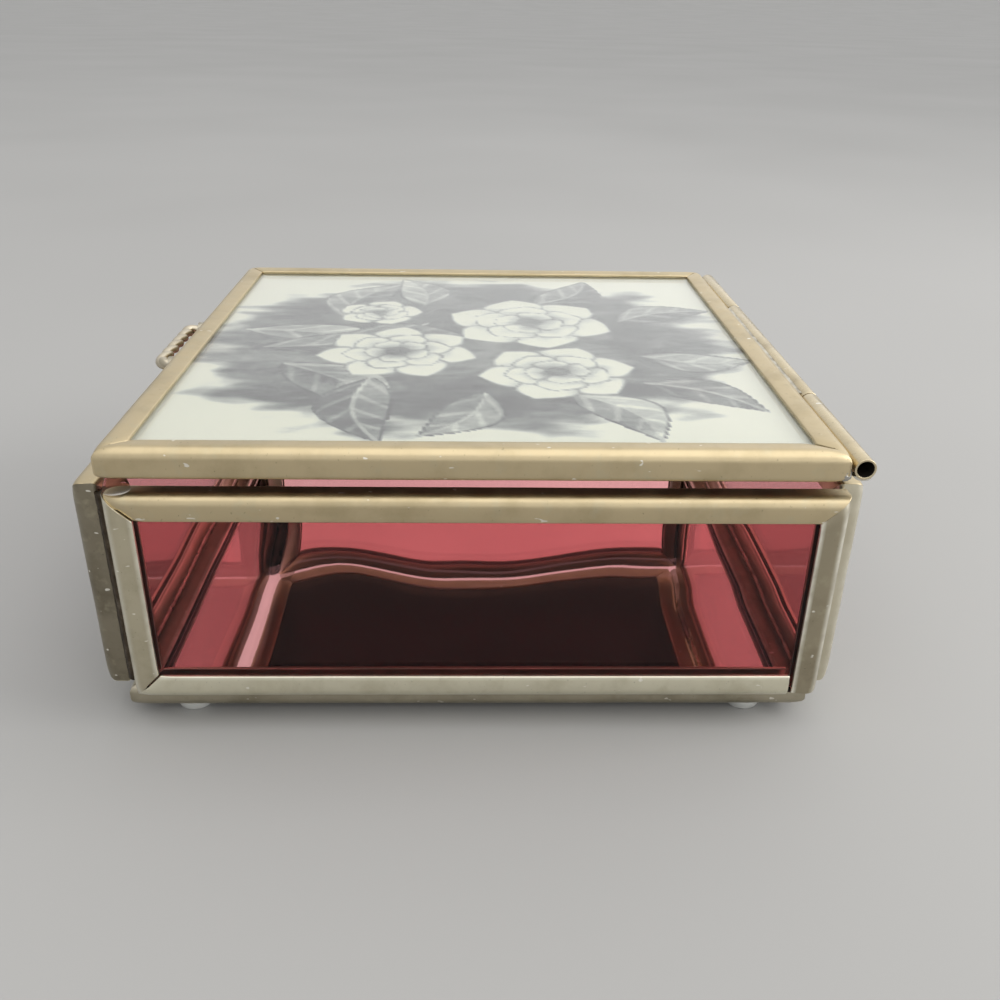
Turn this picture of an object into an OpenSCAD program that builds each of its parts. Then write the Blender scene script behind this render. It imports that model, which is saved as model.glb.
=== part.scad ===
// Glass casket: mitred metal channel round coloured panes, a mirror floor,
// and a hinged lid that holds a print between glass and a dark board.
// Millimetres. X to the right, -Y to the side with the pull, Z up.
// The origin is on the table, at the middle of the footprint.

/* [Case] */
// Width over the side walls, equal to the lid's width
box_x = 120; // [80:1:200]
// Depth over the front and rear walls
box_y = 131.8; // [90:0.1:220]
// Height of the four walls
wall_h = 40; // [20:0.5:90]
// Open groove between the front wall and each side wall
front_groove = 1.6; // [0:0.1:2.4]
// How far each side wall runs past the rear wall's inner face
rear_lap = 1.2; // [0:0.1:2]
// How much higher the rear wall stands than the others
rear_rise = 0.6; // [0:0.1:1.5]
// Notch between rail and stile where the right wall has no mitre
butt_notch = 0.7; // [0.2:0.1:1.5]
// Height of that stile's square end over the base
butt_lift = 1; // [0.2:0.1:2]
// How far the base frame reaches under the walls
base_lap = 1; // [0.4:0.1:1.4]

/* [Channel] */
// Thickness of the channel across the glass
came_t = 5; // [4:0.1:8]
// Width of the channel's legs
came_leg = 4.7; // [3.5:0.1:9]
// Thickness of the channel's metal
came_wall = 0.8; // [0.5:0.1:1.2]
// Rounding of the two outer edges
came_r = 1.3; // [0.5:0.1:2]

/* [Glass] */
// Thickness of the coloured panes
pane_t = 3.2; // [2:0.1:3.4]
// Thickness of the mirror floor
mirror_t = 3.2; // [2:0.1:3.4]
// Play of the glass edges in the channel
edge_play = 0.2; // [0.1:0.05:0.5]
// Thickness of the lid's clear glass
lid_glass_t = 2; // [1:0.1:2.4]
// Thickness of the printed sheet
print_t = 0.3; // [0.1:0.05:0.5]
// Thickness of the dark board under the print
backing_t = 1.4; // [0.5:0.1:2]

/* [Lid] */
// Thickness of the lid's channel
lid_t = 5.4; // [4:0.1:8]
// Gap in depth between the front wall's inner face and the lid
lid_front_gap = 1.53; // [0.3:0.01:4]
// Gap in depth between the lid and the rear wall's inner face
lid_rear_gap = 0.27; // [0.2:0.01:1]
// Open gap between the walls' tops and the lid
lid_gap = 2.8; // [2:0.1:6]

/* [Hinge] */
// Outer radius of the hinge tube
tube_r = 1.77; // [1.2:0.01:3]
// Radius of the wire that the tube turns on
pin_r = 1.4; // [0.8:0.05:2]
// Running clearance of the lid's tube on the wire
run_fit = 0.05; // [0.02:0.01:0.1]
// Distance from the lid's edge to the hinge line
hinge_out = 2.07; // [2:0.01:4]
// Height of the hinge line over the lid's underside
hinge_up = 2.57; // [1:0.01:4]
// Half length of the middle tube that is on the lid
knuckle_half = 30; // [15:0.5:50]
// Gap between two tubes
knuckle_gap = 0.4; // [0.3:0.05:1]
// How far the wire is set back in the open tube ends
pin_recess = 6; // [0.5:0.1:10]

/* [Pull] */
// Length of the twisted bail over its ends
pull_len = 26; // [20:0.5:60]
// Radius of one wire of the bail
strand_r = 0.6; // [0.5:0.05:1.2]
// Space between the two wires
strand_gap = 0.03; // [0.01:0.01:0.1]
// Length of one full twist
lay = 7.6; // [5:0.1:14]
// Distance from the lid's edge to the middle of the bail
pull_out = 3.1; // [2.6:0.1:8]
// Radius of the solder dot at each end of the bail
dot_r = 1.6; // [1.5:0.1:2.4]

/* [Rests] */
// Radius of each clear foot
foot_r = 4; // [3:0.1:6]
// Height of each clear foot
foot_h = 2; // [1:0.1:4]
// Distance from the base's side edge to a foot's centre
foot_in_x = 5; // [4:0.5:14]
// Distance from the base's end to a foot's centre
foot_in_y = 10.5; // [5:0.5:20]
// Radius of the two clear dots under the lid
stop_r = 2.3; // [1.5:0.1:2.5]
// Distance from the lid's front edge to such a dot's centre
stop_in = 2.4; // [2:0.1:10]

/* [Solder] */
// Radius of the solder in the corners
corner_bead_r = 1.1; // [0.8:0.05:1.3]
// Radius of the solder between base and walls
base_bead_r = 0.9; // [0.7:0.05:1.2]
// Width of the solder under the outer hinge tubes
post_w = 2.3; // [1.6:0.1:3]
// How far that solder stops short of the box's side
post_end = 15; // [1:0.5:20]
// Width of its spread foot on the rear wall
post_foot_w = 3.1; // [2:0.1:4]
// Height of that foot over the wall
post_foot_h = 0.6; // [0.2:0.1:1.5]
// Thickness of the solder that hugs the tube from below
cradle_t = 0.43; // [0.2:0.01:0.5]
// Height of the solder between lid and middle tube
lid_bead_h = 2.6; // [1.5:0.1:3]

/* [Hidden] */
$fn = 32;
eps = 0.5;
// heights
base_z = foot_h;
wall_z = base_z + came_t;
wall_top = wall_z + wall_h;
lid_z = wall_top + lid_gap;
lid_mid = lid_z + lid_t / 2;
// walls: side walls run in Y, end walls sit between their inner faces
end_len = box_x - 2 * came_t;
end_mid = box_y / 2 - came_t / 2;
end_in = box_y / 2 - came_t;
side_y0 = -end_in + front_groove;
side_y1 = end_in + rear_lap;
side_len = side_y1 - side_y0;
side_mid = box_x / 2 - came_t / 2;
rear_h = wall_h + rear_rise;
rear_top = wall_z + rear_h;
// base
base_x = end_len + 2 * base_lap;
base_y = 2 * end_in + 2 * base_lap;
// lid
lid_x = box_x;
lid_front = -end_in + lid_front_gap;
lid_rear = end_in - lid_rear_gap;
lid_y = lid_rear - lid_front;
// hinge
axis_y = lid_rear + hinge_out;
axis_z = lid_z + hinge_up;
outer_len = lid_x / 2 - knuckle_half - knuckle_gap / 2;
inner_half = knuckle_half - knuckle_gap / 2;
// the cradle under the tube: height of its front end, reach to the rear
cradle_top = -0.75 * tube_r;
cradle_rear = 0.75 * tube_r;
// solder stops this far short of a corner, and of a tube's inner end
bead_stop = came_wall / 4;
bead_end = 1.25 * came_wall;
// how far a corner's solder reaches round the two channels' edges
bead_bite = 0.4 * came_wall;

brass = [0.72, 0.66, 0.50];
tin = [0.70, 0.68, 0.62];
pink = [0.72, 0.28, 0.36, 0.6];

// ---- channel -------------------------------------------------------

// closed outline of a channel t thick: web at y = 0 with rounded edges
module came_outline(t = came_t) {
  translate([-t / 2, came_r]) square([t, came_leg - came_r]);
  translate([came_r - t / 2, 0]) square([t - 2 * came_r, came_leg]);
  for (s = [-1, 1])
    translate([s * (t / 2 - came_r), came_r]) circle(r = came_r);
}

// section of the channel, open towards the glass
module came_section(t) {
  groove = t - 2 * came_wall;
  difference() {
    came_outline(t);
    translate([-groove / 2, came_wall]) square([groove, came_leg]);
  }
}

// one length along X, web on -Y, legs towards +Y; an end is mitred, or is
// cut square at the distance cut0 or cut1 from its corner
module came(len, t, cut0, cut1) {
  d = came_leg + eps;
  x0 = is_undef(cut0) ? [-eps, d] : [cut0, cut0];
  x1 = is_undef(cut1) ? [len + eps, len - d] : [len - cut1, len - cut1];
  intersection() {
    rotate([90, 0, 90]) linear_extrude(len) swap_xy() came_section(t);
    linear_extrude(2 * t, center = true)
      polygon([[x0[0], -eps], [x1[0], -eps], [x1[1], d], [x0[1], d]]);
  }
}

// swaps the two axes of a section
module swap_xy() {
  mirror([1, -1, 0]) children();
}

// side i of a frame w by h in XY: 0 at y = 0, then anticlockwise
module side(w, h, i, t = came_t, cut0, cut1) {
  at = [[0, 0, 0], [w, 0, 0], [w, h, 0], [0, h, 0]];
  translate(at[i]) rotate(90 * i) came(i % 2 == 0 ? w : h, t, cut0, cut1);
}

// glass of such a frame, standing on the groove of side 0
module pane(w, h, t) {
  e = came_wall + edge_play;
  translate([e, came_wall, -t / 2]) cube([w - 2 * e, h - came_wall - e, t]);
}

// ---- places --------------------------------------------------------

module at_right() {
  translate([side_mid, side_y0, wall_z]) rotate([90, 0, 90]) children();
}

module at_left() {
  translate([-side_mid, side_y0, wall_z]) rotate([90, 0, 90]) children();
}

module at_front() {
  translate([-end_len / 2, -end_mid, wall_z]) rotate([90, 0, 0]) children();
}

module at_rear() {
  translate([-end_len / 2, end_mid, wall_z]) rotate([90, 0, 0]) children();
}

module at_base() {
  translate([-base_x / 2, -base_y / 2, base_z + came_t / 2]) children();
}

module at_lid() {
  translate([-lid_x / 2, lid_front, lid_mid]) children();
}

// sweeps a section along X: its x runs along Y and its y along Z
module along_x(x0, x1) {
  translate([x0, 0, 0]) rotate([90, 0, 90]) linear_extrude(x1 - x0) children();
}

// ---- walls ---------------------------------------------------------

module side_came(i, cut0, cut1) {
  color(brass) side(side_len, wall_h, i, cut0 = cut0, cut1 = cut1);
}

module end_came(i) {
  color(brass) side(end_len, wall_h, i);
}

module rear_came(i) {
  color(brass) side(end_len, rear_h, i);
}

// the right wall's lower rear corner is a butt joint: the stile runs down to
// the base, and the rail ends a notch short of it
module right_wall_bottom_rail() { at_right() side_came(0, cut1 = came_leg + butt_notch); }
module right_wall_rear_stile() { at_right() side_came(1, cut0 = butt_lift); }
module right_wall_top_rail() { at_right() side_came(2); }
module right_wall_front_stile() { at_right() side_came(3); }
module right_pane() { at_right() color(pink) pane(side_len, wall_h, pane_t); }

module left_wall_bottom_rail() { at_left() side_came(0); }
module left_wall_rear_stile() { at_left() side_came(1); }
module left_wall_top_rail() { at_left() side_came(2); }
module left_wall_front_stile() { at_left() side_came(3); }
module left_pane() { at_left() color(pink) pane(side_len, wall_h, pane_t); }

module front_wall_bottom_rail() { at_front() end_came(0); }
module front_wall_right_stile() { at_front() end_came(1); }
module front_wall_top_rail() { at_front() end_came(2); }
module front_wall_left_stile() { at_front() end_came(3); }
module front_pane() { at_front() color(pink) pane(end_len, wall_h, pane_t); }

module rear_wall_bottom_rail() { at_rear() rear_came(0); }
module rear_wall_right_stile() { at_rear() rear_came(1); }
module rear_wall_top_rail() { at_rear() rear_came(2); }
module rear_wall_left_stile() { at_rear() rear_came(3); }
module rear_pane() { at_rear() color(pink) pane(end_len, rear_h, pane_t); }

// ---- base ----------------------------------------------------------

module base_came(i) {
  color(brass) side(base_x, base_y, i);
}

module base_front_rail() { at_base() base_came(0); }
module base_right_rail() { at_base() base_came(1); }
module base_rear_rail() { at_base() base_came(2); }
module base_left_rail() { at_base() base_came(3); }

// a plate in a lying frame, from height z0 over the frame's middle
module plate(w, h, z0, t) {
  e = came_wall + edge_play;
  translate([e, e, z0]) cube([w - 2 * e, h - 2 * e, t]);
}

module mirror_base() {
  at_base() color([0.75, 0.78, 0.8])
    plate(base_x, base_y, came_wall - came_t / 2, mirror_t);
}

// ---- lid -----------------------------------------------------------

module lid_came(i) {
  color(brass) side(lid_x, lid_y, i, lid_t);
}

module lid_front_rail() { at_lid() lid_came(0); }
module lid_right_rail() { at_lid() lid_came(1); }
module lid_rear_rail() { at_lid() lid_came(2); }
module lid_left_rail() { at_lid() lid_came(3); }

// a sheet of the lid, from height z0 over its channel's lower leg
module lid_sheet(z0, t) {
  at_lid() plate(lid_x, lid_y, came_wall - lid_t / 2 + z0, t);
}

module lid_backing() {
  color([0.15, 0.12, 0.12]) lid_sheet(0, backing_t);
}

module lid_print() {
  color([0.88, 0.88, 0.82]) lid_sheet(backing_t, print_t);
}

module lid_glass() {
  color([0.9, 0.95, 0.94, 0.35]) lid_sheet(backing_t + print_t, lid_glass_t);
}

// ---- solder of the case --------------------------------------------

// four upright beads in the open corners, cut to the two stiles they join
module corner_solder() {
  z0 = wall_z + came_r + bead_stop;
  for (sy = [-1, 1]) {
    side_end = sy < 0 ? side_y0 : side_y1;
    mid_y = (side_end + sy * end_in) / 2;
    half_gap = [came_r, abs(side_end - sy * (end_in + 2 * came_r)) / 2];
    bead_r = max(corner_bead_r, norm(half_gap) - came_r + bead_bite);
    for (sx = [-1, 1])
      color(tin) translate([0, 0, z0])
        linear_extrude(wall_h - 2 * (came_r + bead_stop))
          difference() {
            translate([sx * end_len / 2, mid_y]) circle(r = bead_r);
            translate([sx * side_mid, side_end]) rotate(sy > 0 ? 180 : 0) came_outline();
            translate([sx * end_len / 2, sy * end_mid]) rotate(sx > 0 ? 90 : -90)
              came_outline();
          }
  }
}

// a bead's section between a wall's inner face (at x = 0) and the base
module base_bead() {
  difference() {
    translate([base_lap / 2, 0]) circle(r = base_bead_r);
    translate([came_t / 2, 0]) came_outline();
    translate([base_lap, -came_t / 2]) rotate(90) came_outline();
  }
}

// four lying beads where the walls stand on the base frame
module base_solder() {
  run_y = base_y - 2 * came_leg;
  run_x = base_x - 2 * came_leg;
  color(tin) translate([0, 0, wall_z]) {
    for (s = [-1, 1]) {
      translate([s * end_len / 2, 0, 0]) scale_x(s)
        rotate([90, 0, 0]) linear_extrude(run_y, center = true) base_bead();
      translate([0, s * end_in, 0]) rotate(s > 0 ? 90 : -90)
        rotate([90, 0, 0]) linear_extrude(run_x, center = true) base_bead();
    }
  }
}

// keeps or mirrors along X
module scale_x(s) {
  if (s > 0) children();
  else mirror([1, 0, 0]) children();
}

// ---- hinge ---------------------------------------------------------

// a length of tube on the hinge line
module tube(x0, x1, bore_r) {
  translate([x0, axis_y, axis_z]) rotate([0, 90, 0]) difference() {
    cylinder(r = tube_r, h = x1 - x0);
    translate([0, 0, -eps]) cylinder(r = bore_r, h = x1 - x0 + 2 * eps);
  }
}

module hinge_knuckle_right() {
  color(brass) tube(lid_x / 2 - outer_len, lid_x / 2, pin_r);
}

module hinge_knuckle_left() {
  color(brass) tube(-lid_x / 2, outer_len - lid_x / 2, pin_r);
}

module lid_knuckle() {
  color(brass) tube(-inner_half, inner_half, pin_r + run_fit);
}

module hinge_pin() {
  half = lid_x / 2 - pin_recess;
  color(tin) translate([-half, axis_y, axis_z]) rotate([0, 90, 0])
    cylinder(r = pin_r, h = 2 * half);
}

// crescent of solder that hugs the tube from below
module cradle() {
  difference() {
    intersection() {
      circle(r = tube_r + cradle_t);
      translate([-tube_r, -2 * tube_r])
        square([tube_r + cradle_rear, 2 * tube_r + cradle_top]);
    }
    circle(r = tube_r);
  }
}

// the foot of solder down to the rear wall, less tube and wall
module post() {
  drop = axis_z - rear_top + came_r;
  difference() {
    union() {
      translate([-post_w / 2, -drop]) square([post_w, drop]);
      translate([-post_foot_w / 2, -drop]) square([post_foot_w, came_r + post_foot_h]);
    }
    circle(r = tube_r);
    translate([end_mid - axis_y, rear_top - axis_z]) rotate(180) came_outline();
  }
}

// solder from the two outer tubes to the rear wall
module hinge_solder() {
  near = knuckle_half + bead_end;
  color(tin) translate([0, axis_y, axis_z]) for (s = [-1, 1]) scale_x(s) {
    along_x(near, lid_x / 2 - post_end) post();
    along_x(near, lid_x / 2 - 2 * bead_stop) cradle();
  }
}

// solder from the middle tube to the lid's rear rail
module lid_hinge_solder() {
  rise = lid_t / 2 - hinge_up;
  reach = inner_half - bead_end;
  color(tin) translate([0, axis_y, axis_z]) along_x(-reach, reach)
    difference() {
      translate([-hinge_out - came_r, (rise - lid_bead_h) / 2])
        square([hinge_out + came_r - tube_r / 2, lid_bead_h]);
      circle(r = tube_r);
      translate([-hinge_out, rise]) rotate(90) came_outline(lid_t);
    }
}

// ---- pull ----------------------------------------------------------

dot_h = 1.25 * came_wall;
wire_lift = strand_gap;
pull_half = pull_len / 2 - 2 * strand_r;
bend_r = pull_out - dot_h - wire_lift;
bend_len = bend_r * PI / 2;
straight = 2 * (pull_half - bend_r);
rope_len = 2 * bend_len + straight;
strand_off = strand_r + strand_gap / 2;
sides = 8;
steps = 66;

// point, forward and inward direction of the bail's middle line at length s
function bail_end(s) =
  let (a = 90 * s / bend_len)
  [[-pull_half + bend_r * (1 - cos(a)), -dot_h - wire_lift - bend_r * sin(a), 0],
   [sin(a), -cos(a), 0], [cos(a), sin(a), 0]];
function flip(q) =
  [[-q[0].x, q[0].y, 0], [q[1].x, -q[1].y, 0], [-q[2].x, q[2].y, 0]];
function bail(s) =
  s < bend_len ? bail_end(s) :
  s > rope_len - bend_len ? flip(bail_end(rope_len - s)) :
  [[-straight / 2 + s - bend_len, -pull_out, 0], [1, 0, 0], [0, 1, 0]];

// direction from the middle line to wire k, and that wire's centre
function spin(s, k) =
  let (q = bail(s), a = 360 * s / lay + 180 * k)
  cos(a) * q[2] + [0, 0, sin(a)];
function wire(s, k) = bail(s)[0] + strand_off * spin(s, k);

function unit(v) = v / norm(v);

// ring of points round wire k at length s, flat at the two ends
function ring(s, k) =
  let (d = 0.02,
       q = bail(s),
       end = s < d || s > rope_len - d,
       t = end ? q[1] : unit(wire(s + d, k) - wire(s - d, k)),
       r = spin(s, k),
       e1 = unit(r - (r * t) * t),
       e2 = cross(t, e1))
  [for (j = [0:sides - 1])
    wire(s, k) + strand_r * (cos(360 * j / sides) * e1 + sin(360 * j / sides) * e2)];

module strand(k) {
  points = [for (i = [0:steps]) each ring(rope_len * i / steps, k)];
  skin = [for (i = [0:steps - 1], j = [0:sides - 1])
    let (a = i * sides + j, b = i * sides + (j + 1) % sides)
    each [[a, b + sides, b], [a, a + sides, b + sides]]];
  first = [for (j = [0:sides - 1]) j];
  last = [for (j = [sides - 1:-1:0]) steps * sides + j];
  polyhedron(points, concat(skin, [first], [last]));
}

wire_gap = min([for (i = [0:steps], j = [max(0, i - 8):min(steps, i + 8)])
  norm(wire(rope_len * i / steps, 0) - wire(rope_len * j / steps, 1))]) - 2 * strand_r;
echo(least_gap_between_wires = wire_gap);

module lid_pull() {
  color(brass) translate([0, lid_front, lid_mid]) for (k = [0, 1]) strand(k);
}

// two dots of solder that seat the bail's ends on the lid's edge
module pull_solder() {
  for (s = [-1, 1])
    color(tin) translate([s * pull_half, lid_front, lid_mid]) difference() {
      rotate([90, 0, 0]) translate([0, 0, -came_r]) cylinder(r = dot_r, h = dot_h + came_r);
      along_x(-2 * dot_r, 2 * dot_r) rotate(-90) came_outline(lid_t);
    }
}

// ---- rests ---------------------------------------------------------

module feet() {
  for (sx = [-1, 1], sy = [-1, 1])
    color([0.9, 0.9, 0.88, 0.5])
      translate([sx * (base_x / 2 - foot_in_x), sy * (base_y / 2 - foot_in_y), 0])
        cylinder(r1 = foot_r * 0.8, r2 = foot_r, h = foot_h);
}

// clear dots on the side walls that the closed lid lies on
module lid_stops() {
  for (s = [-1, 1])
    color([0.9, 0.9, 0.88, 0.5])
      translate([s * side_mid, lid_front + stop_in, wall_top])
        cylinder(r1 = stop_r, r2 = stop_r * 0.6, h = lid_gap);
}

right_wall_bottom_rail();
right_wall_rear_stile();
right_wall_top_rail();
right_wall_front_stile();
right_pane();
left_wall_bottom_rail();
left_wall_rear_stile();
left_wall_top_rail();
left_wall_front_stile();
left_pane();
front_wall_bottom_rail();
front_wall_right_stile();
front_wall_top_rail();
front_wall_left_stile();
front_pane();
rear_wall_bottom_rail();
rear_wall_right_stile();
rear_wall_top_rail();
rear_wall_left_stile();
rear_pane();
base_front_rail();
base_right_rail();
base_rear_rail();
base_left_rail();
mirror_base();
lid_front_rail();
lid_right_rail();
lid_rear_rail();
lid_left_rail();
lid_backing();
lid_print();
lid_glass();
corner_solder();
base_solder();
hinge_knuckle_right();
hinge_knuckle_left();
lid_knuckle();
hinge_pin();
hinge_solder();
lid_hinge_solder();
lid_pull();
pull_solder();
feet();
lid_stops();
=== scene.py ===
import math

import bmesh
import bpy
from mathutils import Matrix, Vector, noise


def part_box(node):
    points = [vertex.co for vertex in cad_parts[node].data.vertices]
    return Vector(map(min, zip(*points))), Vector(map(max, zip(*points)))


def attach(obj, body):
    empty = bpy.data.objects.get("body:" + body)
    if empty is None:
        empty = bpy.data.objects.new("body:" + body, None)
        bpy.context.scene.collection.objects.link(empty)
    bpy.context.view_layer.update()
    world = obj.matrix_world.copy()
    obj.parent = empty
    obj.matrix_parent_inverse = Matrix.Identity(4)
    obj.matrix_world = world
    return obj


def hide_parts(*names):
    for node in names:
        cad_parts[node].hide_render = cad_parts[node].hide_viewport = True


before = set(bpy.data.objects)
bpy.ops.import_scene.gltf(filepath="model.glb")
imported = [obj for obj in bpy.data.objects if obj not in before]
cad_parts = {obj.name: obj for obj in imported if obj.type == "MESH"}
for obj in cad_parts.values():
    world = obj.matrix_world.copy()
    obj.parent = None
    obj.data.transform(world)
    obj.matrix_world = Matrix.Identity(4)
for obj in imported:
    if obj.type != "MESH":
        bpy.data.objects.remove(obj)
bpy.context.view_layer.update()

MM = 0.001
WELD = 1e-6        # points closer than this are one point
ON_PLANE = 1e-7    # a point this near a plane lies on it
HAIR = 0.01 * MM   # allowance when outer and inner faces are told apart
UP = Vector((0, 0, 1))

# ---- sizes of the metal channel ------------------------------------------------

CAME_LEG = 4.7 * MM             # depth of the legs, as in the CAD
CAME_WALL = 0.8 * MM            # thickness of the sheet, as in the CAD
CAME_ROUND = 1.95 * MM          # bend between web and leg
CAME_TIGHT = 1.1 * MM           # the same bend on a frame's hidden side
CAME_BEND_STEPS = 9
LEG_LEAN = 0.28 * MM            # how far the legs lean together at the lips
LEG_LEAN_INSIDE = 0.08 * MM     # and how much of that shows in the groove
LIP_ROUND = 0.22 * MM
SEAM = 0.04 * MM                # setback of a closed mitre
SEAM_RAGGED = 0.07 * MM         # how uneven the cut of a mitre is
SEAM_GRAIN = 1.6 * MM           # and how fine that is
SEAM_ROUND = 0.14 * MM
PINCH_REACH = 2.6 * MM          # how far from an end the shears' pinch goes
PINCH = 0.16 * MM               # and how deep
LEAST_BUTT = 0.1 * MM           # a channel that stops further than this from the corner is square
SLOW_BOW = (19 * MM, 0.05 * MM)     # reach and depth of the unevenness along a channel
QUICK_BOW = (6 * MM, 0.02 * MM)
END_SLICES = (0.35 * MM, 0.8 * MM, 1.3 * MM, 1.9 * MM, 2.6 * MM)    # cuts near each end
LEG_SLICES = (0.25, 0.5, 0.75)      # cuts across the legs, as parts of their depth
CUT_PITCH = 3.5 * MM                # between the cuts along a channel
LEAST_CUTS = 6


# ---- small helpers ------------------------------------------------------------

def finish_mesh(bm, name, sharp=math.radians(32)):
    """Writes a bmesh to a new object at the origin, smooth but for its sharp edges."""
    bmesh.ops.recalc_face_normals(bm, faces=bm.faces)
    for face in bm.faces:
        face.smooth = True
    for edge in bm.edges:
        edge.smooth = edge.is_manifold and edge.calc_face_angle(0.0) < sharp
    mesh = bpy.data.meshes.new(name)
    bm.to_mesh(mesh)
    bm.free()
    piece = bpy.data.objects.new(name, mesh)
    bpy.context.collection.objects.link(piece)
    return piece


def dress(piece, material, slot, body, *nodes):
    """Gives a piece its material and its body, and hides the CAD nodes it stands for; slot is not
    used.
    """
    piece.data.materials.append(material)
    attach(piece, body)
    if nodes:
        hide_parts(*nodes)


def refinish(node, material):
    """Gives a CAD piece that stays in view its material."""
    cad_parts[node].data.materials.clear()
    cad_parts[node].data.materials.append(material)


def box_mesh(low, high):
    """A block between two corners, to be cut finer."""
    bm = bmesh.new()
    bmesh.ops.create_cube(bm, size=1.0)
    bmesh.ops.scale(bm, vec=high - low, verts=bm.verts)
    bmesh.ops.translate(bm, vec=(low + high) / 2, verts=bm.verts)
    return bm


def corners(node):
    """The two far corners of a node's box."""
    low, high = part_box(node)
    return Vector(low), Vector(high)


def ease(value, low, high):
    """0 below low, 1 above high, and a smooth rise between them."""
    t = min(1.0, max(0.0, (value - low) / (high - low)))
    return t * t * (3 - 2 * t)


def union_box(names):
    """Box round several nodes."""
    boxes = [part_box(name) for name in names]
    low = Vector([min(b[0][k] for b in boxes) for k in range(3)])
    high = Vector([max(b[1][k] for b in boxes) for k in range(3)])
    return low, high


def wave(point, scale, depth, seed):
    """Slow unevenness of a surface, in metres."""
    return depth * noise.noise(Vector(point) / scale + Vector((seed, 3.7 * seed, 0.0)))


# ---- materials -----------------------------------------------------------------

def set_range(node, low, high, to_low, to_high):
    """Sets the four ends of a Map Range node."""
    ends = {"From Min": low, "From Max": high, "To Min": to_low, "To Max": to_high}
    for key, value in ends.items():
        node.inputs[key].default_value = value


class Finish:
    """A node material under way: wraps the tree and its main shader."""

    def __init__(self, name):
        self.material = bpy.data.materials.new(name)
        self.material.use_nodes = True
        self.tree = self.material.node_tree
        self.shader = self.tree.nodes["Principled BSDF"]
        self.place = self.node("ShaderNodeTexCoord").outputs["Object"]

    def node(self, kind, **values):
        """A new node with its settings."""
        made = self.tree.nodes.new(kind)
        for key, value in values.items():
            setattr(made, key, value)
        return made

    def link(self, source, target):
        """Joins two sockets."""
        self.tree.links.new(source, target)

    def scaled(self, x=1.0, y=1.0, z=1.0):
        """Object coordinates stretched by a factor on each axis."""
        mapping = self.node("ShaderNodeMapping")
        mapping.inputs["Scale"].default_value = (x, y, z)
        self.link(self.place, mapping.inputs["Vector"])
        return mapping.outputs["Vector"]

    def cloud(self, scale, detail=3.0, rough=0.55, at=None, distortion=0.0):
        """Noise of about 0.3 to 0.7."""
        made = self.node("ShaderNodeTexNoise")
        made.inputs["Scale"].default_value = scale
        made.inputs["Detail"].default_value = detail
        made.inputs["Roughness"].default_value = rough
        made.inputs["Distortion"].default_value = distortion
        self.link(at or self.place, made.inputs["Vector"])
        return made.outputs["Fac"]

    def ramp(self, source, *stops):
        """A colour ramp of (place, colour) stops."""
        made = self.node("ShaderNodeValToRGB")
        ramp = made.color_ramp
        while len(ramp.elements) < len(stops):
            ramp.elements.new(0.5)
        for element, (at, colour) in zip(ramp.elements, stops):
            element.position = at
            element.color = (*colour, 1.0)
        self.link(source, made.inputs["Fac"])
        return made.outputs["Color"]

    def span(self, source, low, high, to_low, to_high):
        """A value mapped from one range to another."""
        made = self.node("ShaderNodeMapRange")
        set_range(made, low, high, to_low, to_high)
        self.link(source, made.inputs["Value"])
        return made.outputs["Result"]

    def patchy(self, scale, to_low, to_high, detail=3.0, rough=0.55):
        """A value that drifts between two others."""
        return self.span(self.cloud(scale, detail, rough), 0.3, 0.7, to_low, to_high)

    def maths(self, operation, first, second, clamped=False):
        """Two values worked into one."""
        made = self.node("ShaderNodeMath", operation=operation, use_clamp=clamped)
        self.link(first, made.inputs[0])
        self.link(second, made.inputs[1])
        return made.outputs[0]

    def blend(self, factor, first, second, kind="MIX"):
        """Two colours mixed: the first is a socket, the second a socket or a plain colour."""
        made = self.node("ShaderNodeMix", data_type="RGBA", blend_type=kind)
        self.link(factor, made.inputs[0])
        self.link(first, made.inputs[6])
        if isinstance(second, tuple):
            made.inputs[7].default_value = (*second, 1.0)
        else:
            self.link(second, made.inputs[7])
        return made.outputs[2]

    def bump(self, source, strength, distance, under=None):
        """A normal made uneven by a height, on top of another normal if there is one."""
        made = self.node("ShaderNodeBump")
        made.inputs["Strength"].default_value = strength
        made.inputs["Distance"].default_value = distance
        self.link(source, made.inputs["Height"])
        if under is not None:
            self.link(under, made.inputs["Normal"])
        return made.outputs["Normal"]

    def set(self, **values):
        """Links or sets the main shader's sockets and gives back the material."""
        names = {"colour": "Base Color", "metal": "Metallic", "rough": "Roughness", "ior": "IOR",
                 "clear": "Transmission Weight", "normal": "Normal",
                 "specular": "Specular IOR Level", "mirror": "Specular Tint"}
        for key, value in values.items():
            socket = self.shader.inputs[names[key]]
            if isinstance(value, bpy.types.NodeSocket):
                self.link(value, socket)
            elif isinstance(value, tuple):
                socket.default_value = (*value, 1.0)
            else:
                socket.default_value = value
        return self.material


GLASS_IOR = 1.5
GREENISH = (0.53, 0.49, 0.345)
NICKED = (0.93, 0.90, 0.82)
# painted highlight: the pale tone put on the bends and lips
GLINT_TONE = (0.90, 0.87, 0.75)


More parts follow.
